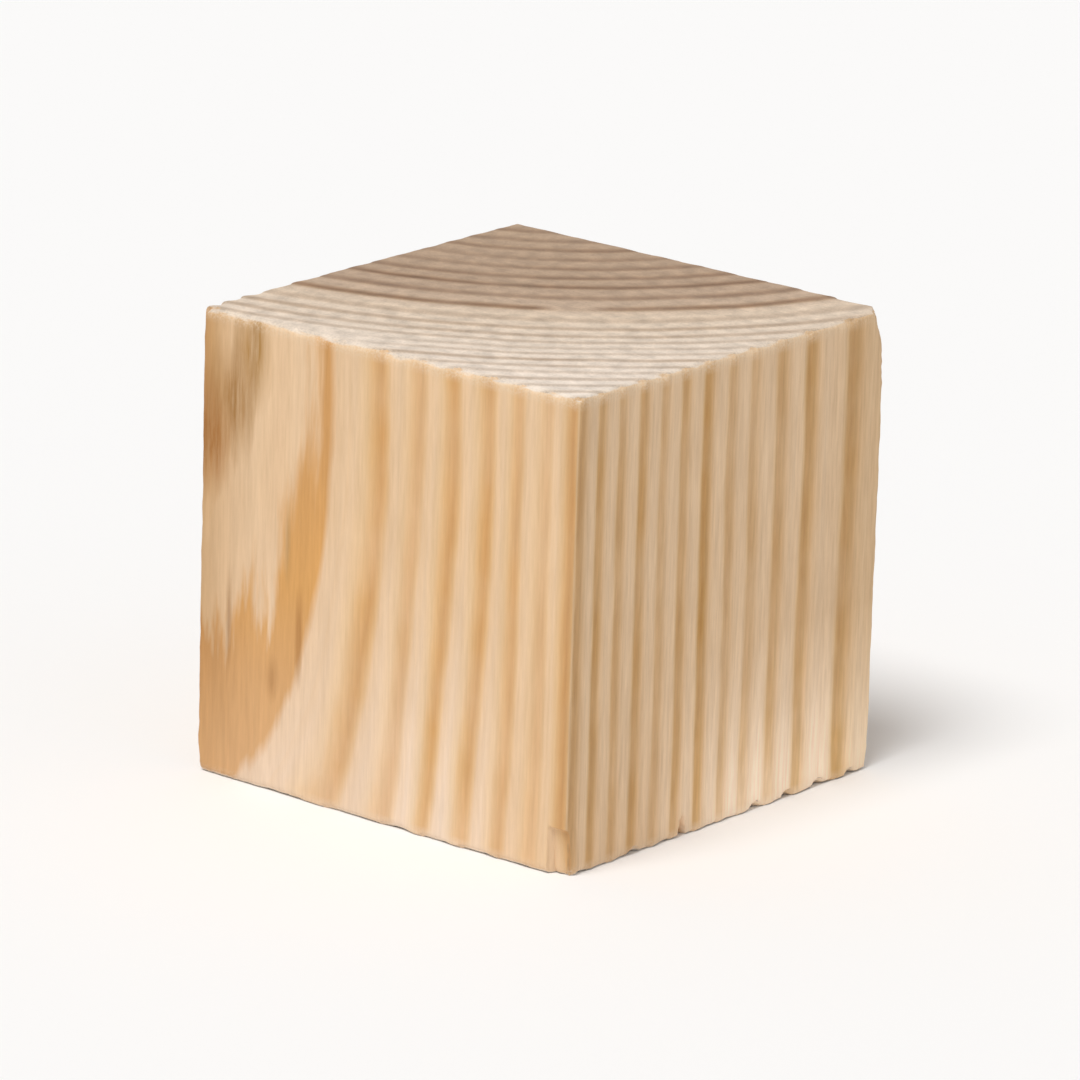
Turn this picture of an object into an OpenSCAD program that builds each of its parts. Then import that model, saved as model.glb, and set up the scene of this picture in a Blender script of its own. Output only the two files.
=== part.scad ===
// Wooden cube: one block of softwood, cross-cut from a planed square strip.
// The grain runs up the block, along Z, and the block rests on one sawn end.
// The heart of the tree lay outside the block, behind its back left edge, so
// every growth ring is an arc about one upright line. A ring starts soft and ends
// hard. Its hard late wood stands proud, as a ridge down the sides and as a raised
// arc on the upper end. Its soft early wood is worn away wherever it meets the rim
// of a sawn end, which leaves the rims scalloped.

/* [Block] */
// Side of the square strip
section = 45; // [40:0.5:52]
// Length sawn from the strip, along the grain
length = 45; // [30:0.5:60]
// Radius of the four eased edges that run along the grain
ease = 0.7; // [0.4:0.1:1.2]
// Width of the small bevel round both sawn ends, inside the ridges
end_bevel = 0.35; // [0.2:0.05:0.6]

/* [Growth rings] */
// Heart of the tree, left of the block's middle
heart_left = 29.7; // [27:0.1:33]
// Heart of the tree, behind the block's middle
heart_back = 38.1; // [35:0.1:41]
// Share of each ring that is hard late wood
late_share = 0.3; // [0.2:0.05:0.45]

/* [Surface] */
// How far the hard late wood stands proud on the left and right sides, left as sawn
ridge = 0.35; // [0.15:0.05:0.5]
// How far it stands proud on the front and back sides, which were planed
planed_ridge = 0.1; // [0.05:0.05:0.3]
// Depth of the soft early wood below the raised arcs of the upper end
hollow = 0.15; // [0.05:0.05:0.3]
// How far the soft early wood is worn back at the rims of the sawn ends
scallop = 1; // [0.8:0.05:1.4]

/* [Damage] */
// Chip off the top back right corner: its reach along the back edge
chip_x = 1.8; // [1:0.1:4]
// Reach of the same chip along the right edge
chip_y = 2.3; // [1:0.1:5]
// Reach of the same chip down the upright edge
chip_z = 4.8; // [2:0.1:8]
// Width of the splinter lost at the foot of the front side's right edge
splinter_w = 2.2; // [1:0.1:4]
// Height of the same splinter
splinter_h = 4.6; // [2:0.1:8]
// Depth of the same splinter at its foot
splinter_d = 1; // [0.8:0.05:1.6]
// Place of the nick in the right side's lower rim, back from the front edge
nick_at = 16.5; // [5:0.5:35]
// Width of the same nick
nick_w = 1; // [0.5:0.1:2]
// Height of the same nick, and its depth at its foot
nick_h = 1.4; // [1.1:0.1:2.5]

/* [Hidden] */

// Radius at which the innermost ring starts
first_radius = 13.6;
// Width of each ring, from the oldest outwards. Rings past the last keep its width.
widths = [3.5, 3.5, 3.5, 3.5, 3.5, 3.5, 3.5, 3.3, 4, 3.8, 4.2, 2.8, 2.6,
          2.1, 2.1, 1.8, 2.3, 2.1, 2, 2.2, 2.1, 2.1, 2];
// Distance in which the surface drops from a ring's hard edge to the next ring's start
step = 0.12;
// Share of the ridge's height that the early wood has regained where late wood starts
early_rise = 0.8;
// Faces in each quarter of an eased edge
ease_steps = 3;
// Facets in a full turn of the rings
facets = 180;
// Overlap of a cutter past the block, so that none ends flush with a face
clear = 1;
half = section / 2;
heart = [-heart_left, heart_back];
// Distance from the heart to the block's front right edge, the youngest wood in it
reach = norm([half + heart_left, half + heart_back]);

function width(i) = widths[min(i, len(widths) - 1)];
// Radius at which each ring starts, running to the first that clears the block
radii = [for (i = 0, r = first_radius; r - width(i) < reach; r = r + width(i), i = i + 1) r];
ring_count = len(radii) - 1;
// Radius at which ring i's late wood starts
function late_start(i) = radii[i + 1] - late_share * width(i);

// Sides are numbered 0 front, 1 right, 2 back, 3 left. Each has its own frame: x along
// it to the right, seen from outside, and y outwards from the block's middle. The same
// formula leads from the block's frame to a side's frame and back.
function in_side(p, side) = [
    p.x * cos(90 * side) + p.y * sin(90 * side),
    p.x * sin(90 * side) - p.y * cos(90 * side)
];

// Square of half the chord that a circle about the heart cuts from a side's line
function chord2(r, side) = r * r - pow(half - in_side(heart, side).y, 2);
function crossing(r, side, hand) = in_side(heart, side).x + hand * sqrt(chord2(r, side));
function crosses(r, side, hand) =
    chord2(r, side) > 0 && abs(crossing(r, side, hand)) < half - ease - step;

// How far the ridges stand proud on one side
function relief(side) = side % 2 == 0 ? planed_ridge : ridge;

// Corners of each ring's tooth, as [radius, share of the ridge's height that is gone]
teeth = [
    for (i = [0:ring_count - 1])
        each [[radii[i] + step, 1], [late_start(i), 1 - early_rise], [radii[i + 1], 0]]
];
last = len(teeth) - 1;

// One side's ridges, from its left to its right
function side_outline(side) = [
    for (hand = [-1, 1], n = [0:last])
        let (t = teeth[hand < 0 ? last - n : n])
        if (crosses(t.x, side, hand))
            in_side([crossing(t.x, side, hand), half - relief(side) * t.y], side)
];

// The eased edge at a side's right-hand end
function eased_edge(side) = [
    for (k = [0:ease_steps])
        let (a = 90 - 90 * k / ease_steps)
        in_side([half - ease + ease * cos(a), half - ease + ease * sin(a)], side)
];

module ribbed_strip() {
    outline = [for (side = [0:3]) each concat(side_outline(side), eased_edge(side))];
    linear_extrude(height = length) polygon(outline);
}

// A bar along X, as wide as the strip, with its four long edges cut back
module bevelled_bar(cut) {
    rotate([90, 0, 90])
        linear_extrude(height = section + 2 * clear, center = true)
            polygon([
                [cut - half, 0], [half - cut, 0], [half, cut], [half, length - cut],
                [half - cut, length], [cut - half, length], [-half, length - cut], [-half, cut]
            ]);
}

// The block's bounds, with the rims of both sawn ends cut back
module bevelled_block(cut) {
    intersection() {
        bevelled_bar(cut);
        rotate([0, 0, 90]) bevelled_bar(cut);
    }
}

// The soft part of every ring, as upright tubes about the heart
module early_wood(z, height) {
    translate([heart.x, heart.y, z])
        rotate_extrude($fn = facets)
            for (i = [0:ring_count - 1])
                translate([radii[i] + step, 0])
                    square([(1 - 2 * late_share) * width(i), height]);
}

// What is worn off the rim of a sawn end where it crosses early wood
module worn_rim(z) {
    difference() {
        early_wood(z, scallop + clear);
        bevelled_block(scallop);
    }
}

// The air in the hollows between the raised arcs of the upper end
module end_hollows() {
    floors = [
        for (i = [0:ring_count - 1])
            each [[radii[i] + step, length - hollow], [late_start(i), length], [radii[i + 1], length]]
    ];
    translate([heart.x, heart.y, 0])
        rotate_extrude($fn = facets)
            polygon(concat(
                [[radii[0], length + clear], [radii[0], length]],
                floors,
                [[radii[ring_count], length + clear]]
            ));
}

// The corner knocked off at the top, back and right, along one sloping plane
module corner_chip() {
    slope = [1 / chip_x, 1 / chip_y, 1 / chip_z];
    size = 3 * (chip_x + chip_y + chip_z);
    translate([half - chip_x, half, length])
        rotate([0, acos(slope.z / norm(slope)), atan2(slope.y, slope.x)])
            translate([-size / 2, -size / 2, 0])
                cube(size);
}

// A wedge out of a side's lower rim, from one place along it to another
module rim_wedge(side, from, to, depth, height) {
    rotate([0, 0, 90 * side])
        translate([from, -half, 0])
            rotate([90, 0, 90])
                linear_extrude(height = to - from)
                    polygon([[depth, 0], [0, height], [-clear, height], [-clear, -clear], [depth, -clear]]);
}

module wooden_cube() {
    color("burlywood")
    difference() {
        intersection() {
            ribbed_strip();
            bevelled_block(ridge + end_bevel);
        }
        worn_rim(-clear);
        worn_rim(length - scallop);
        end_hollows();
        corner_chip();
        rim_wedge(0, half - splinter_w, half + clear, splinter_d, splinter_h);
        rim_wedge(1, nick_at - half, nick_at - half + nick_w, nick_h, nick_h);
    }
}

wooden_cube();
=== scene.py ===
# %% [markdown]
# # A wooden cube
# One cube sawn from a planed strip of softwood, such as pine or spruce. The grain runs
# upwards, and the cube stands on a sawn end. What makes it look like wood is its growth
# rings, so this lesson writes the rings down once and uses them twice: to carve the
# raised grain into the mesh, and to paint the wood.

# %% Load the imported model
import math

import bpy
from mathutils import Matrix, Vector


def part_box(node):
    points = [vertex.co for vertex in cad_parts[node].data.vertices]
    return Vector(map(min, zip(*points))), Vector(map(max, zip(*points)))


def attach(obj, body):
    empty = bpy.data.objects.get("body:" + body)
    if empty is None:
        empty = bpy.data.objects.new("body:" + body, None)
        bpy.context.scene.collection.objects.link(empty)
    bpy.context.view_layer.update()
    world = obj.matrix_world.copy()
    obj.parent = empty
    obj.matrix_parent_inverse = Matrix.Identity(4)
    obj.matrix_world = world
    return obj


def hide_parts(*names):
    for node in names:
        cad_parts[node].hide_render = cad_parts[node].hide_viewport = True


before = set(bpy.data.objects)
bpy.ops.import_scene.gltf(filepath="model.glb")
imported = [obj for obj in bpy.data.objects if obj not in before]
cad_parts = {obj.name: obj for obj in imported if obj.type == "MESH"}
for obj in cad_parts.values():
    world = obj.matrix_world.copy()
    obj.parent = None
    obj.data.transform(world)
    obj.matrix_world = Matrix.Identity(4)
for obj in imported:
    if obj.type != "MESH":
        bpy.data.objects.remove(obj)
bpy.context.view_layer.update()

MM = 0.001
low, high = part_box("wooden_cube")
HALF = (high.x - low.x) / 2 / MM
LENGTH = (high.z - low.z) / MM
print(f"the block is {2 * HALF:.1f} mm square and {LENGTH:.1f} mm along the grain")

# %% [markdown]
# ## The growth rings
# A tree adds one ring a year. Each ring starts with soft, pale early wood and ends with
# hard, golden late wood, and then stops sharply. The heart of this tree lay outside the
# cube, behind its back left edge, so the rings cross the cube as arcs. The list holds
# each ring's width in millimetres, and the strength says how dark its late wood grew. The
# sides that were left as sawn cut the outer rings elsewhere, so there some differ.

# %% Write the rings down
HEART = Vector((-29.7, 38.1, 0))
FIRST_RADIUS = 13.6
WIDTHS = [3.5, 3.5, 3.5, 3.5, 3.5, 3.5, 3.5, 3.3, 4, 3.8, 4.2, 2.8,
          2.6, 2.1, 2.1, 1.8, 2.3, 2.1, 2, 2.2, 2.1, 2.1, 2, 2]
STRENGTHS = [0.5, 0.6, 0.5, 0.7, 0.5, 0.6, 0.7, 0.9, 0.7, 1, 0.5, 0.85,
             0.8, 0.72, 0.64, 0.57, 0.85, 0.6, 0.9, 0.85, 0.68, 0.45, 0.75, 0.6]
SAWN_STRENGTHS = STRENGTHS[:13] + [0.66, 0.54, 0.57, 0.9, 0.75, 0.56, 0.8, 0.65, 0.8, 0.6, 0.6]
radii = [FIRST_RADIUS + sum(WIDTHS[:i]) for i in range(len(WIDTHS) + 1)]
OUTERMOST = radii[-1]
print(f"{len(WIDTHS)} rings reach from {radii[0]:.1f} to {OUTERMOST:.1f} mm from the heart")

# %% [markdown]
# ## One function for every node
# Materials and geometry nodes are both made of nodes, and most of them are small sums.
# `add` puts one node in a tree, sets its settings and fills its sockets, with a number,
# a colour, or another node to link from. A colour ramp also gets its stops. Colours are
# written as on the screen, and `linear` turns them into the values that nodes reckon with.

# %% Define the colours and the node helper
def linear(hex_colour):
    """A colour as it is written for the screen, turned into the linear values that nodes use."""
    channels = [int(hex_colour[i:i + 2], 16) / 255 for i in (1, 3, 5)]
    return [c / 12.92 if c <= 0.04045 else ((c + 0.055) / 1.055) ** 2.4 for c in channels] + [1]


def add(tree, kind, sockets={}, stops=(), **settings):
    """A new node, with its settings made, its sockets filled or linked, and its ramp's stops."""
    made = tree.nodes.new(kind)
    for name, value in settings.items():
        setattr(made, name, value)
    for name, value in sockets.items():
        if isinstance(value, bpy.types.Node):
            value = value.outputs[0]
        if isinstance(value, bpy.types.NodeSocket):
            tree.links.new(value, made.inputs[name])
        else:
            is_colour = isinstance(value, str) and value.startswith("#")
            made.inputs[name].default_value = linear(value) if is_colour else value
    if stops:
        ramp = made.color_ramp.elements
        while len(ramp) < len(stops):
            ramp.new(1)
        for stop, (position, shade) in zip(ramp, stops):
            stop.position = position
            stop.color = linear(shade) if isinstance(shade, str) else (shade, shade, shade, 1)
    return made


MATH = "ShaderNodeMath"
VECTOR = "ShaderNodeVectorMath"
RANGE = "ShaderNodeMapRange"
NOISE = "ShaderNodeTexNoise"
RAMP = "ShaderNodeValToRGB"
MIX = "ShaderNodeMixRGB"
WHITE = (1, 1, 1, 1)
NOISE_SPREAD = {"From Min": 0.3, "From Max": 0.7}     # nearly all of a noise lies between these
print("a mid grey on the screen is", round(linear("#808080")[0], 3), "to a node")

# %% [markdown]
# ## The rings as nodes
# From any place in the block, these nodes work out which ring it lies in, and how far
# through that ring it is. The distance from the heart comes first. Real grain isn't
# straight, so it also leans: low on the left the fibres run outwards, as they do beside
# a knot, and there the rings sweep across the side in a flame. Close to the front side
# they dip a little towards the heart. A slow noise adds the small waver that every ring
# has.

# %% Work out how far a place is from the heart
LEAN = (-1.29, 4.83)         # mm at the foot of the left side: an even part and a growing part
DIP = -0.25                  # mm at the front side
WAVER = 0.9                  # mm
WAVES = (0.12, 0.12, 0.035)  # in each mm: one in 8 mm across the grain and in 29 mm along it


def ring_radius(tree, place):
    """From a place in millimetres to its distance from the heart, along the leaning grain."""
    x, y, z = add(tree, "ShaderNodeSeparateXYZ", {"Vector": place}).outputs
    level = add(tree, VECTOR, {0: place, 1: (1, 1, 0)}, operation="MULTIPLY")
    straight = add(tree, VECTOR, {0: level, 1: HEART}, operation="DISTANCE").outputs["Value"]
    down = add(tree, RANGE, {"Value": z, "From Min": LENGTH, "From Max": 0})
    left = add(tree, RANGE, {"Value": x, "From Min": HALF, "From Max": -HALF})
    steep = add(tree, MATH, {0: down, 1: LEAN[1], 2: LEAN[0]}, operation="MULTIPLY_ADD")
    lean = add(tree, MATH, {0: down, 1: steep}, operation="MULTIPLY")
    leaning = add(tree, MATH, {0: lean, 1: left, 2: straight}, operation="MULTIPLY_ADD")
    front = add(tree, RANGE, {"Value": y, "From Min": -HALF, "From Max": -HALF / 2,
                              "To Min": DIP, "To Max": 0})
    beside = add(tree, RAMP, {"Fac": left}, stops=[(0, 0), (0.08, 1), (0.45, 1), (0.72, 0)])
    leaning = add(tree, MATH, {0: front, 1: beside, 2: leaning}, operation="MULTIPLY_ADD")
    stretched = add(tree, VECTOR, {0: place, 1: WAVES}, operation="MULTIPLY")
    waver = add(tree, NOISE, {"Vector": stretched, "Scale": 1, "Detail": 3})
    waver = add(tree, MATH, {0: waver, 1: -0.5}, operation="ADD")
    return add(tree, MATH, {0: waver, 1: WAVER, 2: leaning}, operation="MULTIPLY_ADD")


print(f"at the foot of the left side the rings lean {sum(LEAN):.1f} mm outwards")

# %% [markdown]
# ## Where in its ring a place lies
# A ramp turns the distance from the heart into a count of rings. The whole number is the
# ring, and what is left over is the phase, from 0 in the first early wood to 1 at the end
# of the late wood. A second ramp looks up the ring's strength. Two of the rings faded in
# this piece, so they lose most of their strength towards the left.

# %% Work out the ring and the phase
FADING_RINGS = (14, 15)
FADE = {"From Min": 2, "From Max": -7, "To Max": 0.85}     # from X 2 mm to X -7 mm, to 15 percent


def growth_ring(tree, place, radius, lag=0, strengths=STRENGTHS):
    """From a radius to its phase and the ring's strength. A lag moves each ring outwards."""
    count = len(WIDTHS)
    share = add(tree, MATH, {0: radius, 1: OUTERMOST}, operation="DIVIDE")
    stops = [(r / OUTERMOST, i / count) for i, r in enumerate(radii)]
    passed = add(tree, RAMP, {"Fac": share}, stops=stops)
    passed = add(tree, MATH, {0: passed, 1: count, 2: -lag}, operation="MULTIPLY_ADD")
    number = add(tree, MATH, {0: passed}, operation="FLOOR")
    phase = add(tree, MATH, {0: passed}, operation="FRACT")
    middle = add(tree, MATH, {0: number, 1: 0.5}, operation="ADD")
    middle = add(tree, MATH, {0: middle, 1: count}, operation="DIVIDE")
    stops = [(i / count, value) for i, value in enumerate(strengths)]
    strength = add(tree, RAMP, {"Fac": middle}, stops=stops)
    strength.color_ramp.interpolation = "CONSTANT"
    between = sum(FADING_RINGS) / 2
    fading = add(tree, MATH, {0: number, 1: between, 2: 0.6}, operation="COMPARE")
    x = add(tree, "ShaderNodeSeparateXYZ", {"Vector": place}).outputs["X"]
    left = add(tree, RANGE, {"Value": x, **FADE})
    lost = add(tree, MATH, {0: fading, 1: left}, operation="MULTIPLY")
    kept = add(tree, MATH, {0: 1, 1: lost}, operation="SUBTRACT")
    return phase, add(tree, MATH, {0: strength, 1: kept}, operation="MULTIPLY")


print(f"rings {FADING_RINGS[0] + 1} and {FADING_RINGS[1] + 1} fade out towards the left")

# %% [markdown]
# ## The block
# The block starts as a grid, which is its upper sawn end. The border of the grid is
# extruded down the grain for the four sides, in short steps near both ends and at the
# foot, where the wood is worn and torn, and in longer ones between. The bottom is closed
# with a few narrow rows round the rim and one flat face.

# %% Start with a grid
COLUMNS = 240
bpy.ops.object.select_all(action="DESELECT")
bpy.ops.mesh.primitive_grid_add(x_subdivisions=COLUMNS, y_subdivisions=COLUMNS,
                                size=2 * HALF * MM, location=(0, 0, LENGTH * MM))
block = bpy.context.object
block.name = "softwood_block"
bpy.ops.object.transform_apply(location=True)
print(f"the upper end is a grid of {len(block.data.polygons)} faces")

# %% Extrude the sides and close the base
RIM_STEPS = [0.12, 0.13, 0.15, 0.15, 0.2, 0.2, 0.25, 0.3, 0.4]
MIDDLE_STEPS = 72
FOOT_STEPS = [0.25] * 13
BASE_STEPS = [0.2, 0.25, 0.3, 0.35, 0.45, 0.6]
bpy.ops.object.mode_set(mode="EDIT")
bpy.ops.mesh.select_mode(type="EDGE")
bpy.ops.mesh.select_all(action="DESELECT")
bpy.ops.mesh.select_non_manifold()
middle_step = (LENGTH - 2 * sum(RIM_STEPS) - sum(FOOT_STEPS)) / MIDDLE_STEPS
for step in RIM_STEPS + [middle_step] * MIDDLE_STEPS + FOOT_STEPS + RIM_STEPS[::-1]:
    bpy.ops.mesh.extrude_edges_move(TRANSFORM_OT_translate={"value": (0, 0, -step * MM)})
border = HALF
for step in BASE_STEPS:
    shrink = (border - step) / border
    border -= step
    bpy.ops.mesh.extrude_edges_move()
    bpy.ops.transform.resize(value=(shrink, shrink, 1), center_override=(0, 0, 0))
bpy.ops.mesh.edge_face_add()
bpy.ops.mesh.select_all(action="SELECT")
bpy.ops.mesh.normals_make_consistent(inside=False)
bpy.ops.object.mode_set(mode="OBJECT")
print(f"the block has {len(block.data.polygons)} faces before it is worn")

# %% [markdown]
# ## The same order each time
# Edit mode leaves new faces and edges in an order that changes from run to run, and the
# thinning at the end depends on that order. So the faces are sorted by their corners, and
# each starts from its lowest one. Then the same block comes out every time.

# %% Put the faces in order
faces = []
for face in block.data.polygons:
    corners = list(face.vertices)
    first = corners.index(min(corners))
    faces.append(corners[first:] + corners[:first])
unordered = block.data
block.data = bpy.data.meshes.new("softwood_block")
block.data.from_pydata([point.co for point in unordered.vertices], [], sorted(faces))
bpy.data.meshes.remove(unordered)
print(f"put {len(faces)} faces in order")

# %% [markdown]
# ## Raised grain
# Planed softwood doesn't stay flat: the soft early wood shrinks and wears back, and the
# hard late wood is left standing as ridges. They could be painted as bump, but they notch
# the outline and the rims, so they have to be in the mesh. Geometry nodes move each point
# of the block. They work in millimetres, and first find how soft the wood is there.

# %% Find the soft wood
LATE_WOOD = {"From Min": 0.35, "From Max": 0.85}      # the phases in which the wood hardens
RING_STOP = {"From Min": 1, "From Max": 0.9}          # and those in which it stops
wear = bpy.data.node_groups.new("wear", "GeometryNodeTree")
wear.interface.new_socket("Geometry", in_out="INPUT", socket_type="NodeSocketGeometry")
wear.interface.new_socket("Geometry", in_out="OUTPUT", socket_type="NodeSocketGeometry")
start = add(wear, "NodeGroupInput")
metres = add(wear, "GeometryNodeInputPosition")
place = add(wear, VECTOR, {0: metres, "Scale": 1 / MM}, operation="SCALE")
radius = ring_radius(wear, place)
phase, strength = growth_ring(wear, place, radius)
rising = add(wear, RANGE, {"Value": phase, **LATE_WOOD}, interpolation_type="SMOOTHSTEP")
stopping = add(wear, RANGE, {"Value": phase, **RING_STOP}, interpolation_type="SMOOTHSTEP")
late = add(wear, MATH, {0: rising, 1: stopping}, operation="MULTIPLY")
hard = add(wear, MATH, {0: late, 1: strength}, operation="MULTIPLY")
soft = add(wear, MATH, {0: 1, 1: hard}, operation="SUBTRACT")
print("soft wood found by", len(wear.nodes), "nodes")

# %% [markdown]
# ## Worn edges
# Where early wood meets an edge it rounds off further, which scallops the edge. The
# outer, younger wood is softer still. A blotchy noise makes the wear uneven, and the
# upright edges are rounded less between the rims than near them. Each point is pulled
# back to a core inside the block, and the way from that core to the point is outwards.

# %% Round the edges
LATE_ROUND = 0.35
EARLY_ROUND = 0.85
BLOTCHES = 0.35              # in each mm, so they are about 3 mm wide
SOFTER_OUTSIDE = {"From Min": 44, "From Max": 56, "To Min": 0.15, "To Max": 1}
ROUNDER_AT_ENDS = {"From Min": LENGTH / 2 - 3, "From Max": LENGTH / 2 - 0.5,
                   "To Min": 0.6, "To Max": 1}


def off_middle(tree, height):
    """How far a height is above or below the middle of the block, in millimetres."""
    above = add(tree, MATH, {0: height, 1: -LENGTH / 2}, operation="ADD")
    return add(tree, MATH, {0: above}, operation="ABSOLUTE")


blotch = add(wear, NOISE, {"Vector": place, "Scale": BLOTCHES, "Detail": 3})
uneven = add(wear, RANGE, {"Value": blotch, **NOISE_SPREAD, "To Min": 0.6, "To Max": 1.25})
sapwood = add(wear, RANGE, {"Value": radius, **SOFTER_OUTSIDE})
softer = add(wear, MATH, {0: soft, 1: sapwood}, operation="MULTIPLY")
rounding = add(wear, MATH, {0: softer, 1: EARLY_ROUND - LATE_ROUND, 2: LATE_ROUND},
               operation="MULTIPLY_ADD")
rounding = add(wear, MATH, {0: rounding, 1: uneven}, operation="MULTIPLY")
up = add(wear, "ShaderNodeSeparateXYZ", {"Vector": place}).outputs["Z"]
near_end = add(wear, RANGE, {"Value": off_middle(wear, up), **ROUNDER_AT_ENDS})
rounding = add(wear, MATH, {0: rounding, 1: near_end}, operation="MULTIPLY")
inner_high = add(wear, VECTOR, {0: (HALF, HALF, LENGTH), 1: rounding}, operation="SUBTRACT")
inner_low = add(wear, VECTOR, {0: (-HALF, -HALF, 0), 1: rounding}, operation="ADD")
core = add(wear, VECTOR, {0: place, 1: inner_high}, operation="MINIMUM")
core = add(wear, VECTOR, {0: core, 1: inner_low}, operation="MAXIMUM")
outwards = add(wear, VECTOR, {0: place, 1: core}, operation="SUBTRACT")
outwards = add(wear, VECTOR, {0: outwards}, operation="NORMALIZE")
print(f"edges are rounded by {LATE_ROUND} mm in late wood and {EARLY_ROUND} mm in early wood")

# %% [markdown]
# ## Sunk early wood
# The soft wood sinks on every face but the base, which is flat because the block rests
# on it. How deep depends on the face: the sides left as sawn have the most relief, the
# two planed sides hardly any, and the sawn end a little. Each point is set out from its
# core again, by the rounding less the depth that the wood has sunk there.

# %% Sink the soft wood
SIDE_RELIEF = 0.14
PLANED_RELIEF = 0.035
END_RELIEF = 0.07
_, out_y, out_z = add(wear, "ShaderNodeSeparateXYZ", {"Vector": outwards}).outputs
planed = add(wear, MATH, {0: out_y}, operation="ABSOLUTE")
depth = add(wear, RANGE, {"Value": planed, "To Min": SIDE_RELIEF, "To Max": PLANED_RELIEF})
at_top = add(wear, RANGE, {"Value": out_z, "From Min": 0.3, "From Max": 0.8})
depth = add(wear, MIX, {"Fac": at_top, "Color1": depth, "Color2": (END_RELIEF,) * 3 + (1,)})
off_base = add(wear, RANGE, {"Value": out_z, "From Min": -0.8, "From Max": -0.3})
depth = add(wear, MATH, {0: depth, 1: off_base}, operation="MULTIPLY")
sunk = add(wear, MATH, {0: depth, 1: softer}, operation="MULTIPLY")
kept = add(wear, MATH, {0: rounding, 1: sunk}, operation="SUBTRACT")
offset = add(wear, VECTOR, {0: outwards, "Scale": kept}, operation="SCALE")
worn = add(wear, VECTOR, {0: core, 1: offset}, operation="ADD")
print(f"early wood sinks {SIDE_RELIEF} mm on the sawn sides and {PLANED_RELIEF} on the planed ones")

# %% [markdown]
# ## Corners knocked off
# Small softwood cubes lose their corners. Each cut is a sloping plane, given by the
# corner it takes off and how far it reaches along X, Y and Z from there. Points above the
# plane are pushed down to it. A fine grit roughens it, because wood tears rather than
# cuts.

# %% Cut the corners
CUTS = {
    "chip at the top back right corner": ((HALF, HALF, LENGTH), (-1.8, -2.3, -4.8)),
    "worn upper stretch of the back right edge": ((HALF, HALF, LENGTH), (-0.9, -0.9, -14)),
}
GRIT = 0.625                 # mm
grit = add(wear, NOISE, {"Vector": place, "Scale": 1 / GRIT, "Detail": 4})
grit = add(wear, MATH, {0: grit, 1: 0.5, 2: -0.25}, operation="MULTIPLY_ADD")
damaged = worn
for name, (corner, reach) in CUTS.items():
    normal = -Vector([1 / along for along in reach]).normalized()
    edge_point = Vector(corner) + Vector((reach[0], 0, 0))
    above = add(wear, VECTOR, {0: damaged, 1: edge_point}, operation="SUBTRACT")
    above = add(wear, VECTOR, {0: above, 1: normal}, operation="DOT_PRODUCT").outputs["Value"]
    above = add(wear, MATH, {0: above, 1: grit}, operation="ADD")
    above = add(wear, MATH, {0: above, 1: 0}, operation="MAXIMUM")
    shaving = add(wear, VECTOR, {0: normal, "Scale": above}, operation="SCALE")
    damaged = add(wear, VECTOR, {0: damaged, 1: shaving}, operation="SUBTRACT")
    print(f"cut the {name}")

# %% [markdown]
# ## A lost splinter
# A splinter comes away along the grain. This one left the foot of the front side, beside
# the right edge: a wedge that is deepest at the base, with a small step above it and an
# upright one beside it. The wood behind it is pushed in as well, less and less, so that
# no face folds over another.

# %% Tear off the splinter
SPLINTER_WIDTH = 2.2
SPLINTER_HEIGHT = 4.6
SPLINTER_DEPTH = 1.0
STEP_ABOVE = 0.4
STEP_BESIDE = 0.3
SPLINTER_FADE = 2.5          # mm behind the front side, where the push ends
SPLINTER_FIBRES = (1.6, 0, 0.2)
torn_x, torn_y, torn_z = add(wear, "ShaderNodeSeparateXYZ", {"Vector": damaged}).outputs
deeper = add(wear, RANGE, {"Value": torn_z, "From Min": SPLINTER_HEIGHT, "From Max": 0,
                           "To Min": STEP_ABOVE, "To Max": SPLINTER_DEPTH})
below_step = add(wear, RANGE, {"Value": torn_z, "From Min": SPLINTER_HEIGHT,
                               "From Max": SPLINTER_HEIGHT - 0.2})
deeper = add(wear, MATH, {0: deeper, 1: below_step}, operation="MULTIPLY")
splinter_edge = HALF - SPLINTER_WIDTH
beside = add(wear, RANGE, {"Value": torn_x, "From Min": splinter_edge,
                           "From Max": splinter_edge + STEP_BESIDE})
along_grain = add(wear, VECTOR, {0: place, 1: SPLINTER_FIBRES}, operation="MULTIPLY")
splintery = add(wear, NOISE, {"Vector": along_grain, "Scale": 1, "Detail": 3})
splintery = add(wear, RANGE, {"Value": splintery, **NOISE_SPREAD, "To Min": 0.7, "To Max": 1.2})
wedge = add(wear, MATH, {0: deeper, 1: beside}, operation="MULTIPLY")
wedge = add(wear, MATH, {0: wedge, 1: splintery}, operation="MULTIPLY")
near_front = add(wear, RANGE, {"Value": torn_y, "From Min": SPLINTER_FADE - HALF,
                               "From Max": -HALF})
torn_y = add(wear, MATH, {0: wedge, 1: near_front, 2: torn_y}, operation="MULTIPLY_ADD")
damaged = add(wear, "ShaderNodeCombineXYZ", {"X": torn_x, "Y": torn_y, "Z": torn_z})
print(f"tore off a splinter {SPLINTER_WIDTH} mm wide and {SPLINTER_HEIGHT} mm high")

# %% [markdown]
# ## Nicks and gaps in the lower rim
# The rim of the right side has small gaps, where soft wood crumbled away at the base. A
# dent is given by its middle, its half-sizes and how far it pushes the edge, and its push
# fades from the middle outwards.

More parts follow.
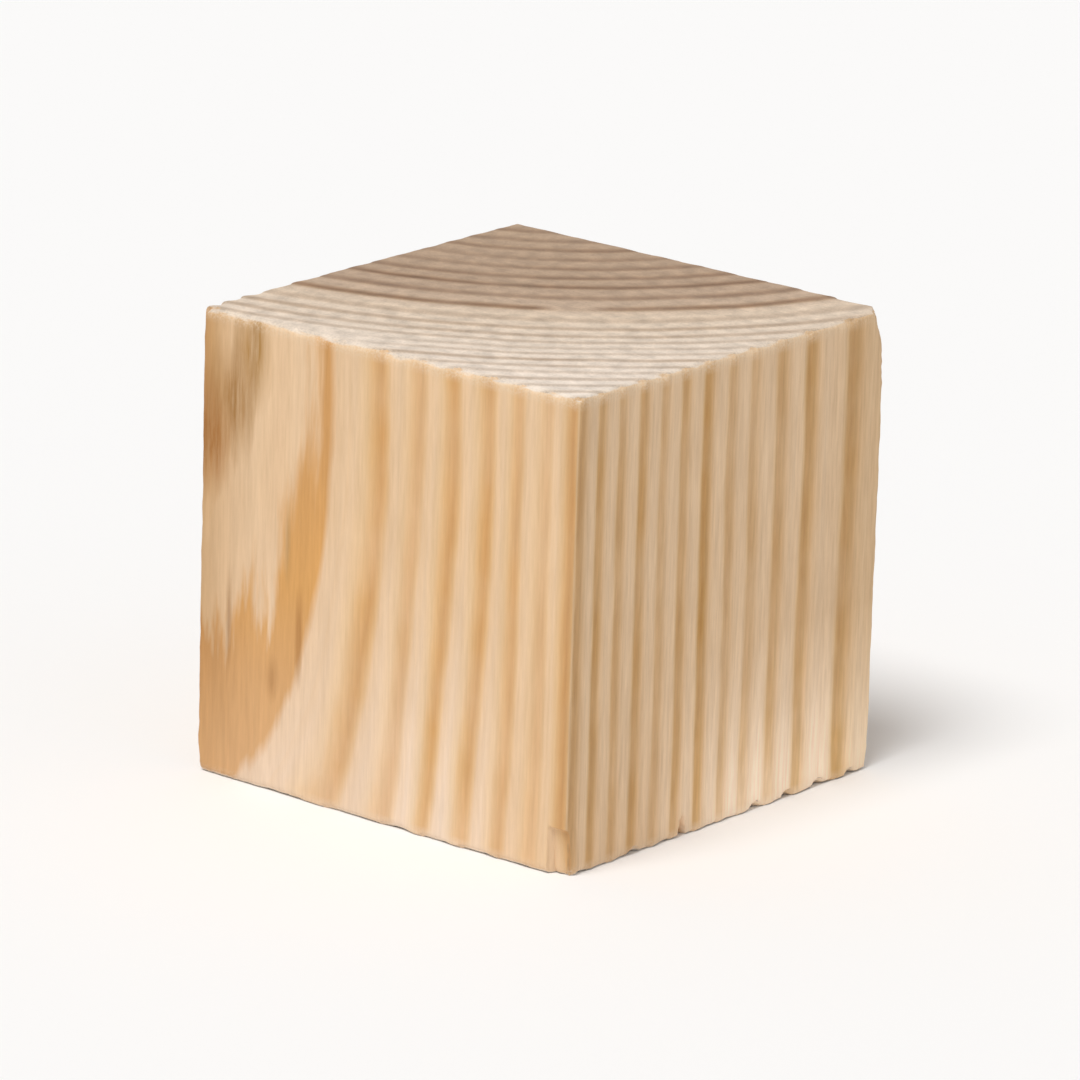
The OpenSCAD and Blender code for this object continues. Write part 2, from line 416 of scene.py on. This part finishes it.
# %% Press the dents
DENTS = {
    "nick in the lower right edge": ((HALF, -5.5, 0), (2, 0.55, 1.9), (-1.1, 0, 0.8)),
    "gap near the front right foot": ((HALF, -12.5, 0), (1, 1, 0.8), (-0.25, 0, 0.25)),
    "gap in the middle of the lower right edge": ((HALF, 5.5, 0), (1, 0.8, 0.8), (-0.25, 0, 0.28)),
    "gap beside it": ((HALF, 10.3, 0), (1, 0.8, 0.8), (-0.25, 0, 0.28)),
    "gap near the back right foot": ((HALF, 15, 0), (1, 0.9, 0.8), (-0.25, 0, 0.28)),
    "gap at the back right foot": ((HALF, 19.8, 0), (1, 0.9, 0.8), (-0.25, 0, 0.25)),
}


def from_spot(tree, place, middle, sizes):
    """How far a place is from the middle of a spot, with the spot's own half-sizes as 1."""
    away = add(tree, VECTOR, {0: place, 1: middle}, operation="SUBTRACT")
    away = add(tree, VECTOR, {0: away, 1: sizes}, operation="DIVIDE")
    return add(tree, VECTOR, {0: away}, operation="LENGTH").outputs["Value"]


for name, (middle, sizes, push) in DENTS.items():
    away = add(wear, MATH, {0: from_spot(wear, place, middle, sizes), 1: grit}, operation="ADD")
    inside = add(wear, RANGE, {"Value": away, "From Min": 1.1, "From Max": 0.4})
    shift = add(wear, VECTOR, {0: push, "Scale": inside}, operation="SCALE")
    damaged = add(wear, VECTOR, {0: damaged, 1: shift}, operation="ADD")
    print(f"pressed the {name}")

# %% [markdown]
# ## Apply the wear
# Colour and relief have to agree, so each point also keeps the place that it had in the
# fresh wood. The material reads its rings from that place and not from the worn shape, but
# inside a chip it reads them from the wood that the chip laid bare. The mesh is then
# thinned, which leaves the points where the shape needs them.

# %% Apply the nodes
taken = add(wear, VECTOR, {0: damaged, 1: worn}, operation="SUBTRACT")
fresh = add(wear, VECTOR, {0: place, 1: taken}, operation="ADD")
stored = add(wear, "GeometryNodeStoreNamedAttribute", {"Geometry": start, "Name": "fresh_place"},
             data_type="FLOAT_VECTOR", domain="POINT")
wear.links.new(fresh.outputs[0], stored.inputs["Value"])
in_metres = add(wear, VECTOR, {0: damaged, "Scale": MM}, operation="SCALE")
moved = add(wear, "GeometryNodeSetPosition", {"Geometry": stored, "Position": in_metres})
add(wear, "NodeGroupOutput", {"Geometry": moved})
print("the wear takes", len(wear.nodes), "nodes")
modifier = block.modifiers.new("wear", "NODES")
modifier.node_group = wear
bpy.ops.object.modifier_apply(modifier=modifier.name)
bpy.data.node_groups.remove(wear)

# %% Thin the mesh
TRIANGLES = 188_000
SHARP_ANGLE = 50             # degrees
before = sum(len(face.vertices) - 2 for face in block.data.polygons)
modifier = block.modifiers.new("thin", "DECIMATE")
modifier.ratio = TRIANGLES / before
bpy.ops.object.modifier_apply(modifier=modifier.name)
bpy.ops.object.shade_smooth_by_angle(angle=math.radians(SHARP_ANGLE))
after = sum(len(face.vertices) - 2 for face in block.data.polygons)
print(f"the worn block has {after} triangles, thinned from {before}")

# %% [markdown]
# ## Softwood, planed and weathered
# The real surface is bare pine, planed or left from the saw, with no varnish. Its open
# fibres scatter the light, so it is matt. The sides show the rings as golden lines on
# cream. One material paints the whole block, as the wood runs right through it. It reads
# the place in the fresh wood, and works out the ring and the phase as the wear did. The
# painted line lies a little outside its ridge, where the wood is hardest.

# %% Start the material with the rings
LINE_LAG = 0.28              # how far the colours are moved outwards, as a share of the ring
LINE_MIDDLE = 0.66           # the phase in which the line is darkest
NARROWER_INSIDE = {"From Min": 50, "From Max": 60, "To Min": 1.8, "To Max": 1}
wood = bpy.data.materials.new("planed_softwood")
wood.use_nodes = True
tree = wood.node_tree
tree.nodes.clear()
place = add(tree, "ShaderNodeAttribute", attribute_name="fresh_place").outputs["Vector"]
radius = ring_radius(tree, place)
phase, planed_strength = growth_ring(tree, place, radius, LINE_LAG)
_, sawn_strength = growth_ring(tree, place, radius, LINE_LAG, SAWN_STRENGTHS)
narrow = add(tree, RANGE, {"Value": radius, **NARROWER_INSIDE})
from_line = add(tree, MATH, {0: phase, 1: LINE_MIDDLE}, operation="SUBTRACT")
side_phase = add(tree, MATH, {0: from_line, 1: narrow, 2: LINE_MIDDLE},
                 operation="MULTIPLY_ADD", use_clamp=True)
print("the painted rings take", len(tree.nodes), "nodes")

# %% [markdown]
# ## Ends, sides and planed sides
# The sawn end cuts the fibres across and the sides cut them along, so they look quite
# different. The way that the surface faces tells them apart. Of the sides, the front and
# back were planed and are smooth, and the left and right are rougher, with darker lines.

# %% Tell the ends from the sides
x, y, z = add(tree, "ShaderNodeSeparateXYZ", {"Vector": place}).outputs
coordinates = add(tree, "ShaderNodeTexCoord")
facing = add(tree, VECTOR, {0: coordinates.outputs["Normal"]}, operation="ABSOLUTE")
_, facing_y, facing_z = add(tree, "ShaderNodeSeparateXYZ", {"Vector": facing}).outputs
on_end = add(tree, RANGE, {"Value": facing_z, "From Min": 0.5, "From Max": 0.75})
at_end = add(tree, RANGE, {"Value": off_middle(tree, z), "From Min": LENGTH / 2 - 1.7,
                           "From Max": LENGTH / 2 - 1.1})
on_end = add(tree, MATH, {0: on_end, 1: at_end}, operation="MULTIPLY")
planed = add(tree, RANGE, {"Value": facing_y, "From Min": 0.6, "From Max": 0.85})
strength = add(tree, MIX, {"Fac": planed, "Color1": sawn_strength, "Color2": planed_strength})
at_front = add(tree, RANGE, {"Value": y, "From Min": 0, "From Max": -HALF})
at_front = add(tree, MATH, {0: at_front, 1: planed}, operation="MULTIPLY")
print("masks made for the ends, the planed sides and the front side")

# %% [markdown]
# ## Fibres, pores and patches
# Softwood fibres are about 0.04 mm wide. That is too fine to show, so they are drawn
# about nine times as coarse, and stretched along the grain. The cut fibres of the sawn
# end look like pores, and are drawn coarse as well. Wider streaks run along the grain too,
# and slow patches make a ring stronger here and weaker there.

# %% Make the fibres and pores
FIBRE = 0.35                 # mm wide
FIBRE_LENGTH = 5             # mm
PORE = 0.22                  # mm
STREAKS = (0.7, 0.7, 0.06)   # in each mm: one in 1.4 mm across the grain and in 17 mm along it
PATCHES = 0.09               # in each mm, so they are about 11 mm wide
across = (1 / FIBRE, 1 / FIBRE, 1 / FIBRE_LENGTH)
across = add(tree, VECTOR, {0: place, 1: across}, operation="MULTIPLY")
fibres = add(tree, NOISE, {"Vector": across, "Scale": 1, "Detail": 5, "Roughness": 0.65})
wide = add(tree, VECTOR, {0: place, 1: STREAKS}, operation="MULTIPLY")
streaks = add(tree, NOISE, {"Vector": wide, "Scale": 1, "Detail": 5, "Roughness": 0.65})
pores = add(tree, NOISE, {"Vector": place, "Scale": 1 / PORE, "Detail": 3, "Roughness": 0.6})
patches = add(tree, NOISE, {"Vector": place, "Scale": PATCHES, "Detail": 3})
patchy = add(tree, RANGE, {"Value": patches, **NOISE_SPREAD, "To Min": 0.7, "To Max": 1.15})
strength = add(tree, MATH, {0: strength, 1: patchy}, operation="MULTIPLY", use_clamp=True)
print(f"fibres are drawn {FIBRE} mm wide, and pores {PORE} mm")

# %% [markdown]
# ## The rims
# Along the rims of the sawn ends the saw tore the fibres, and the torn ends look pale.
# This finds a narrow band below the upper rim, and a fainter one above the lower, in the
# outer wood, which tears most.

# %% Find the rims
UPPER_RIM = {"From Min": LENGTH - 1.4, "From Max": LENGTH - 0.3}
LOWER_RIM = {"From Min": 1.1, "From Max": 0.2, "To Max": 0.7}
OUTER_SHELL = {"From Min": HALF - 1.1, "From Max": HALF - 0.1}
SAPWOOD = {"From Min": 50, "From Max": 60}
high_up = add(tree, RANGE, {"Value": z, **UPPER_RIM})
low_down = add(tree, RANGE, {"Value": z, **LOWER_RIM})
near_rim = add(tree, MATH, {0: high_up, 1: low_down}, operation="MAXIMUM")
flat = add(tree, VECTOR, {0: place}, operation="ABSOLUTE")
flat_x, flat_y, _ = add(tree, "ShaderNodeSeparateXYZ", {"Vector": flat}).outputs
outer = add(tree, MATH, {0: flat_x, 1: flat_y}, operation="MAXIMUM")
outer = add(tree, RANGE, {"Value": outer, **OUTER_SHELL})
rim = add(tree, MATH, {0: near_rim, 1: outer}, operation="MULTIPLY")
sapwood = add(tree, RANGE, {"Value": radius, **SAPWOOD})
rim = add(tree, MATH, {0: rim, 1: sapwood}, operation="MULTIPLY")
print(f"the upper rim is pale above {UPPER_RIM['From Min']:.1f} mm")

# %% [markdown]
# ## The colours of a ring
# One colour ramp holds a ring from its start to its end: cream early wood, a golden line
# of late wood, and cream again. The rougher sides have a browner, narrower line than the
# planed ones. How much of the line shows is the ring's strength, less near a pale rim.

# %% Paint the sides
EARLY_WOOD = "#EACBA7"
SAWN_RING = [(0, "#E9C9A4"), (0.12, EARLY_WOOD), (0.36, "#E6C297"), (0.48, "#D9AD77"),
             (0.58, "#C49553"), (0.68, "#BA8947"), (0.76, "#C39453"), (0.82, "#DDB888"),
             (0.9, "#E8C8A2"), (1, "#E9C9A4")]
PLANED_RING = [(0, "#EAC9A2"), (0.12, EARLY_WOOD), (0.34, "#E9C698"), (0.47, "#E2B67D"),
               (0.58, "#D9A768"), (0.7, "#D19B5A"), (0.78, "#D9A86B"), (0.86, "#E3BA86"),
               (0.94, "#EAC8A0"), (1, "#EAC9A2")]
RIM_PALING = 0.65
sawn_ring = add(tree, RAMP, {"Fac": side_phase}, stops=SAWN_RING)
planed_ring = add(tree, RAMP, {"Fac": side_phase}, stops=PLANED_RING)
side_ring = add(tree, MIX, {"Fac": planed, "Color1": sawn_ring, "Color2": planed_ring})
pale_rim = add(tree, MATH, {0: rim, 1: -RIM_PALING, 2: 1}, operation="MULTIPLY_ADD")
side_strength = add(tree, MATH, {0: strength, 1: pale_rim}, operation="MULTIPLY")
side = add(tree, MIX, {"Fac": side_strength, "Color1": EARLY_WOOD, "Color2": side_ring})
print(f"the sides run from {EARLY_WOOD} to {PLANED_RING[5][1]} or {SAWN_RING[5][1]}")

# %% [markdown]
# ## The pale foot
# The block is paler towards its foot, most of all beside the front right edge, and
# higher up the front side than the right. Part of it is the paler tone of the wood itself,
# and part is painted light, as if bounced up from below. Each paling is a list of heights
# in millimetres and shares. The tints are above 1, because they lighten what they multiply,
# blue most of all. The hidden sides keep their colour.

# %% Find the pale foot
SAWN_PALING = [(2, 1), (6, 0.66), (10, 0.35), (17, 0)]
PLANED_PALING = [(2, 1), (6, 0.75), (10, 0.58), (18, 0.28), (28, 0)]
height = add(tree, MATH, {0: z, 1: LENGTH}, operation="DIVIDE")
stops = [(h / LENGTH, share) for h, share in SAWN_PALING]
sawn_paling = add(tree, RAMP, {"Fac": height}, stops=stops)
stops = [(h / LENGTH, share) for h, share in PLANED_PALING]
planed_paling = add(tree, RAMP, {"Fac": height}, stops=stops)
foot = add(tree, MIX, {"Fac": at_front, "Color1": sawn_paling, "Color2": planed_paling})
to_right = add(tree, MATH, {0: x, 1: y}, operation="SUBTRACT")     # largest at the front right edge
paling_starts = add(tree, RANGE, {"Value": at_front, "To Min": 34, "To Max": 40})
paling_full = add(tree, RANGE, {"Value": at_front, "To Min": 20, "To Max": 32})
beside_edge = add(tree, RANGE, {"Value": to_right, "From Min": paling_starts,
                                "From Max": paling_full})
off_back = add(tree, RANGE, {"Value": to_right, "From Min": -8, "From Max": 0})
off_left = add(tree, RANGE, {"Value": x, "From Min": 0.3 - HALF, "From Max": 4.5 - HALF})
for share in (beside_edge, off_back, off_left):
    foot = add(tree, MATH, {0: foot, 1: share}, operation="MULTIPLY")
print(f"the front side is pale up to {PLANED_PALING[-1][0]} mm, and the right to "
      f"{SAWN_PALING[-1][0]} mm")

# %% Lighten the pale foot, partly with painted bounce light
# painted light: the foot is lightened partly for its paler wood, partly as light bounced up from
# below
PALE_AND_BOUNCE_LEFT = (1.03, 1.12, 1.33, 1)
PALE_AND_BOUNCE_FRONT = (1.09, 1.23, 1.55, 1)
PALE_AND_BOUNCE_RIGHT = (1.42, 1.6, 1.93, 1)
to_middle = add(tree, RANGE, {"Value": x, "From Min": -3, "From Max": 4})
pale = add(tree, MIX, {"Fac": to_middle, "Color1": PALE_AND_BOUNCE_LEFT, "Color2": PALE_AND_BOUNCE_FRONT})
pale = add(tree, MIX, {"Fac": at_front, "Color1": PALE_AND_BOUNCE_RIGHT, "Color2": pale})
side = add(tree, MIX, {"Fac": foot, "Color1": side, "Color2": pale}, blend_type="MULTIPLY")
print(f"the foot of the front side is multiplied by up to {PALE_AND_BOUNCE_FRONT[:3]}")

# %% [markdown]
# ## The flame
# Where the plane cut through leaning rings, late wood spreads over the side as a golden
# flame, low on the left. It starts at a distance from the heart that depends on the
# height, and ends at one ring's sharp stop. Its inner side is ragged, like tongues of
# fire, with a noise stretched along the grain. The colour changes a little with height.

# %% Sweep the flame across the lower left
FLAME_EDGE = 64.8
FLAME_STARTS = [(0, 61.4), (11, 61.7), (17, 62.6), (22, 63.2), (28, 63.4), (36, 63.9),
                (LENGTH, 64.2)]
TONGUES = (0.4, 0.4, 0.045)  # in each mm: one in 2.5 mm across the grain and in 22 mm along it
TONGUE_LENGTHS = {"From Min": 14, "From Max": 24, "To Min": 8, "To Max": 3}
GOLD = [(0.04, "#DAAC78"), (0.24, "#D6A46A"), (0.45, "#DBA257"), (0.8, "#D19A58")]
stops = [(h / LENGTH, r / OUTERMOST) for h, r in FLAME_STARTS]
starts = add(tree, RAMP, {"Fac": height}, stops=stops)
starts = add(tree, MATH, {0: starts, 1: OUTERMOST}, operation="MULTIPLY")
tongues = add(tree, VECTOR, {0: place, 1: TONGUES}, operation="MULTIPLY")
tongues = add(tree, NOISE, {"Vector": tongues, "Scale": 1, "Detail": 4, "Roughness": 0.6})
tongues = add(tree, MATH, {0: tongues, 1: -0.5}, operation="ADD")
tongue_length = add(tree, RANGE, {"Value": z, **TONGUE_LENGTHS})
ragged = add(tree, MATH, {0: tongues, 1: tongue_length}, operation="MULTIPLY")
into_flame = add(tree, MATH, {0: radius, 1: starts}, operation="SUBTRACT")
into_flame = add(tree, MATH, {0: into_flame, 1: ragged}, operation="ADD")
gold = add(tree, RANGE, {"Value": into_flame, "From Min": -0.5, "From Max": 0.6},
           interpolation_type="SMOOTHSTEP")
at_edge = add(tree, MATH, {0: ragged, 1: 0.1, 2: radius}, operation="MULTIPLY_ADD")
before_edge = add(tree, RANGE, {"Value": at_edge, "From Min": FLAME_EDGE + 0.15,
                                "From Max": FLAME_EDGE - 0.1})
to_left = add(tree, RANGE, {"Value": x, "From Min": -2, "From Max": -6, "To Max": 0.9})
for share in (before_edge, to_left):
    gold = add(tree, MATH, {0: gold, 1: share}, operation="MULTIPLY")
gold_shade = add(tree, RAMP, {"Fac": height}, stops=GOLD)
side = add(tree, MIX, {"Fac": gold, "Color1": side, "Color2": gold_shade})
print(f"the flame ends {FLAME_EDGE} mm from the heart")

# %% [markdown]
# ## Resin marks
# Resin left a few darker streaks and spots on the front side. Each is given by its middle,
# its half-sizes, its colour and how much of it shows. The streaks of the wood pull its
# outline about, and the fibres break it up.

# %% Add the resin marks
MARKS = {
    "pitch streak": ((-18.7, -HALF, 16), (0.35, 2.5, 5), "#94693C", 0.5),
    "pitch streak in the flame": ((-10, -HALF, 15.5), (0.45, 2.5, 4), "#A87338", 0.6),
    "short streak beside the flame": ((-11.6, -HALF, 24.5), (0.3, 2.5, 3.6), "#A98550", 0.5),
    "dark spot low in the flame": ((-13.3, -HALF, 11), (0.8, 2.5, 2), "#A0703C", 0.45),
    "amber streak, upper part": ((-16.3, -HALF, 42), (2.2, 4, 5), "#B08548", 0.9),
    "amber streak, middle part": ((-18.6, -HALF, 37), (2.4, 4, 4.5), "#AC7F43", 0.9),
    "amber streak, lower part": ((-21.3, -HALF, 32.5), (2.2, 4, 4.5), "#B98448", 1),
}
streaky = add(tree, RANGE, {"Value": fibres, "From Min": 0.3, "From Max": 0.6,
                            "To Min": 0.45, "To Max": 1.1})
for name, (middle, sizes, shade, amount) in MARKS.items():
    away = from_spot(tree, place, middle, sizes)
    away = add(tree, MATH, {0: streaks, 1: 1.4, 2: away}, operation="MULTIPLY_ADD")
    inside = add(tree, RANGE, {"Value": away, "From Min": 2.1, "From Max": 1, "To Max": amount})
    inside = add(tree, MATH, {0: inside, 1: streaky}, operation="MULTIPLY")
    side = add(tree, MIX, {"Fac": inside, "Color1": side, "Color2": shade})
    print(f"painted the {name}")

# %% [markdown]
# ## Darker edges
# The upright edges are darker. The front side has painted shade towards its left edge,
# less near the base, the rough sides darken towards the back, and the front right edge
# has a narrow dark line. Each is a share, and a tint that the colour is multiplied by.

# %% Darken the upright edges
LEFT_SHADE_TINT = (0.76, 0.68, 0.56, 1)
BACK_TINT = (0.9, 0.87, 0.8, 1)
EDGE_TINT = (0.88, 0.83, 0.74, 1)
# painted shade along the left edge of the front side, weaker near the base
left_shade = add(tree, RANGE, {"Value": x, "From Min": 7 - HALF, "From Max": -HALF})
above_base = add(tree, RANGE, {"Value": z, "From Min": 2, "From Max": 15,
                               "To Min": 0.45, "To Max": 1})
left_shade = add(tree, MATH, {0: left_shade, 1: above_base}, operation="MULTIPLY")
left_shade = add(tree, MATH, {0: left_shade, 1: at_front}, operation="MULTIPLY")
at_back = add(tree, RANGE, {"Value": y, "From Min": 14, "From Max": 21})
rough = add(tree, MATH, {0: 1, 1: planed}, operation="SUBTRACT")
at_back = add(tree, MATH, {0: at_back, 1: rough}, operation="MULTIPLY")
on_edge = add(tree, RANGE, {"Value": to_right, "From Min": 2 * HALF - 2.4,
                            "From Max": 2 * HALF - 0.8})
for share, tint in ((left_shade, LEFT_SHADE_TINT), (at_back, BACK_TINT), (on_edge, EDGE_TINT)):
    side = add(tree, MIX, {"Fac": share, "Color1": side, "Color2": tint}, blend_type="MULTIPLY")
    print("darkened an edge by", tint[:3])

# %% [markdown]
# ## Fibres on the sides
# Last, the fibres and the wider streaks run over the sides and all that is painted on
# them. The rough sides have stronger fibres than the planed ones.

# %% Streak the sides with fibres
FIBRE_SPREAD = {"From Min": 0.25, "From Max": 0.75}
ROUGH_FIBRES = ((0.84, 0.8, 0.75, 1), (1.09, 1.09, 1.09, 1))
PLANED_FIBRES = ((0.895, 0.85, 0.79, 1), (1.045, 1.02, 0.99, 1))
fibre_share = add(tree, RANGE, {"Value": fibres, **FIBRE_SPREAD})
dark, light = (add(tree, MIX, {"Fac": planed, "Color1": on_rough, "Color2": on_planed})
               for on_rough, on_planed in zip(ROUGH_FIBRES, PLANED_FIBRES))
fibre_tone = add(tree, MIX, {"Fac": fibre_share, "Color1": dark, "Color2": light})
streak_tone = add(tree, RANGE, {"Value": streaks, **NOISE_SPREAD, "To Min": 0.94, "To Max": 1.05})
for tone in (fibre_tone, streak_tone):
    side = add(tree, MIX, {"Fac": 1, "Color1": side, "Color2": tone}, blend_type="MULTIPLY")
print("the sides are painted by", len(tree.nodes), "nodes")

# %% [markdown]
# ## The sawn ends
# On a sawn end the eye looks down into the cut fibres, and they swallow light, so the end
# is greyer than the sides. The wood near the heart is darker than the sapwood outside it,
# and the rings are thin brown arcs. One ramp holds the tone from the heart outwards, and
# another darkens it by the phase in the ring. The arcs break off at one worn spot in the
# middle, and grow fainter in the sapwood.

# %% Paint the sawn ends
END_TONES = [(0, "#AD9277"), (0.5, "#B1967D"), (0.56, "#BBA189"), (0.6, "#C8AF97"),
             (0.63, "#DAC5AE"), (0.76, "#E3D2C0"), (0.88, "#EADACA"), (1, "#EEE1D3")]
END_RING = [(0, "#FFFFFF"), (0.26, "#FAF8F5"), (0.4, "#E0D5C8"), (0.51, "#B9A692"),
            (0.6, "#AC9882"), (0.68, "#BFAF9D"), (0.79, "#F3EFEA"), (0.88, "#FFFFFF")]
WORN_SPOT = (1.8, 1.5, LENGTH)
WORN_SPREAD = {"From Min": 1.5, "From Max": 3.5, "To Min": 0.3, "To Max": 1}
FAINTER_OUTSIDE = {"From Min": 50, "From Max": 56, "To Min": 1, "To Max": 0.75}
from_heart = add(tree, MATH, {0: radius, 1: OUTERMOST}, operation="DIVIDE")
end = add(tree, RAMP, {"Fac": from_heart}, stops=END_TONES)
end_ring = add(tree, RAMP, {"Fac": phase}, stops=END_RING)
from_worn = add(tree, VECTOR, {0: place, 1: WORN_SPOT}, operation="DISTANCE").outputs["Value"]
unworn = add(tree, RANGE, {"Value": from_worn, **WORN_SPREAD})
fainter = add(tree, RANGE, {"Value": radius, **FAINTER_OUTSIDE})
end_strength = strength
for share in (unworn, fainter):
    end_strength = add(tree, MATH, {0: end_strength, 1: share}, operation="MULTIPLY")
darker = add(tree, MIX, {"Fac": end_strength, "Color1": WHITE, "Color2": end_ring})
end = add(tree, MIX, {"Fac": 1, "Color1": end, "Color2": darker}, blend_type="MULTIPLY")
print(f"the end runs from {END_TONES[0][1]} at the heart to {END_TONES[-1][1]}")

# %% [markdown]
# ## Pores, flecks and saw marks
# Fine pores, coarser flecks and the faint lines that the saw left all vary the tone of
# the end. They are multiplied in, one after another, and then the ends join the sides.

# %% Speckle the sawn ends
FLECK = 1.8                  # mm
SAW_MARKS = (0.1, 4, 1)      # in each mm: one in 10 mm along the saw's path and in 0.25 mm across
flecks = add(tree, NOISE, {"Vector": place, "Scale": 1 / FLECK, "Detail": 3})
along_saw = add(tree, VECTOR, {0: place, 1: SAW_MARKS}, operation="MULTIPLY")
saw_marks = add(tree, NOISE, {"Vector": along_saw, "Scale": 1, "Detail": 3})
for noise, dark, light in ((pores, 0.88, 1.07), (flecks, 0.81, 1.13), (saw_marks, 0.95, 1.04)):
    tone = add(tree, RANGE, {"Value": noise, **NOISE_SPREAD, "To Min": dark, "To Max": light})
    end = add(tree, MIX, {"Fac": 1, "Color1": end, "Color2": tone}, blend_type="MULTIPLY")
colour = add(tree, MIX, {"Fac": on_end, "Color1": side, "Color2": end})
print(f"the end has flecks of {FLECK} mm and pores of {PORE} mm")

# %% [markdown]
# ## Torn fibres and a matt surface
# The rims get their pale torn fibres, speckled like the pores. A very low bump roughens
# the surface, with the fibres on the sides and the pores on the ends. Bare wood has an
# IOR of about 1.45 and a roughness of about 0.7, and it is no metal.

# %% Add the pale torn fibres along the rims
TORN_FIBRES = "#EEDCC4"
torn = add(tree, RANGE, {"Value": pores, "From Min": 0.4, "From Max": 0.7, "To Max": 0.6})
torn = add(tree, MATH, {0: torn, 1: rim}, operation="MULTIPLY")
colour = add(tree, MIX, {"Fac": torn, "Color1": colour, "Color2": TORN_FIBRES})
print("the torn rims are", TORN_FIBRES)

# %% Finish the surface
BUMP = 0.1                   # mm
relief = add(tree, MIX, {"Fac": on_end, "Color1": fibres, "Color2": pores})
bump = add(tree, "ShaderNodeBump", {"Height": relief, "Strength": 0.35, "Distance": BUMP * MM})
surface = add(tree, "ShaderNodeBsdfPrincipled",
              {"Base Color": colour, "Roughness": 0.72, "IOR": 1.45, "Normal": bump})
add(tree, "ShaderNodeOutputMaterial", {"Surface": surface})
block.data.materials.clear()
block.data.materials.append(wood)
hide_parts("wooden_cube")
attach(block, "root")
print(f"the wood is painted by {len(tree.nodes)} nodes")

# %% [markdown]
# ## The floor
# The block stands on matt white paper, as in a studio. The paper is far wider than the
# view, so it runs into the white behind.

# %% Lay the floor
bpy.ops.object.select_all(action="DESELECT")
bpy.ops.mesh.primitive_plane_add(size=8)
floor = bpy.context.object
floor.name = "floor"
paper = bpy.data.materials.new("white_paper")
paper.use_nodes = True
shader = paper.node_tree.nodes["Principled BSDF"]
shader.inputs["Base Color"].default_value = linear("#F5F4F3")
shader.inputs["Roughness"].default_value = 0.9
floor.data.materials.append(paper)
print(f"the floor is {floor.dimensions.x:.0f} m wide")

# %% [markdown]
# ## Light
# The world is plain white where the camera or a reflection sees it, and a dimmer light on
# the block. Two broad soft lamps do the rest. The bright one stands in front and high up,
# so the front side is a little brighter than the right one. The weak one comes from the
# right, where the ridges catch it. Each has an azimuth, an elevation, a spread in degrees
# and a power.

# %% Set the world
SKY_LIGHT = 0.42
world = bpy.data.worlds.new("studio")
bpy.context.scene.world = world
world.use_nodes = True
sky = world.node_tree
sky.nodes.clear()
rays = add(sky, "ShaderNodeLightPath").outputs
seen = add(sky, MATH, {0: rays["Is Camera Ray"], 1: rays["Is Glossy Ray"]}, operation="MAXIMUM")
seen = add(sky, MATH, {0: seen, 1: rays["Is Transmission Ray"]}, operation="MAXIMUM")
shine = add(sky, RANGE, {"Value": seen, "To Min": SKY_LIGHT, "To Max": 1})
light = add(sky, "ShaderNodeBackground", {"Color": WHITE, "Strength": shine})
add(sky, "ShaderNodeOutputWorld", {"Surface": light})
print(f"the world lights the block with a strength of {SKY_LIGHT}")

# %% Set the lamps
CENTRE = Vector((0, 0, LENGTH / 2)) * MM
LAMPS = {"key": (5, 65, 25, 2.11), "fill": (95, 30, 60, 0.1)}


def aim(thing, azimuth, elevation, distance, turn=0):
    """Puts a thing round the cube, looking at it. Azimuth 0 is in front, 90 to the right."""
    a, e = math.radians(azimuth), math.radians(elevation)
    direction = Vector((math.sin(a) * math.cos(e), -math.cos(a) * math.cos(e), math.sin(e)))
    thing.location = CENTRE + direction * distance
    thing.rotation_euler = direction.to_track_quat("Z", "Y").to_euler()
    thing.rotation_euler.rotate_axis("Z", math.radians(turn))


for name, (azimuth, elevation, spread, power) in LAMPS.items():
    lamp = bpy.data.lights.new(name, "SUN")
    lamp.angle = math.radians(spread)
    lamp.energy = power
    holder = bpy.data.objects.new(name, lamp)
    bpy.context.scene.collection.objects.link(holder)
    aim(holder, azimuth, elevation, 1)
    print(f"the {name} light comes from {azimuth} degrees round and {elevation} degrees up")

# %% [markdown]
# ## Camera
# A long lens from a good distance keeps the upright edges nearly parallel. The camera
# looks at the front right edge, a little from above, and is turned by a degree or two.

# %% Place the camera
AZIMUTH, ELEVATION, DISTANCE, TURN = 39.3, 16.5, 0.70, 1.7
camera = bpy.data.objects.new("camera", bpy.data.cameras.new("camera"))
bpy.context.scene.collection.objects.link(camera)
camera.data.lens = 250
camera.data.sensor_width = 36
aim(camera, AZIMUTH, ELEVATION, DISTANCE, turn=TURN)
bpy.context.scene.camera = camera
bpy.context.scene.view_settings.view_transform = "Standard"
print(f"the camera is {DISTANCE} m away, with a {camera.data.lens:.0f} mm lens")
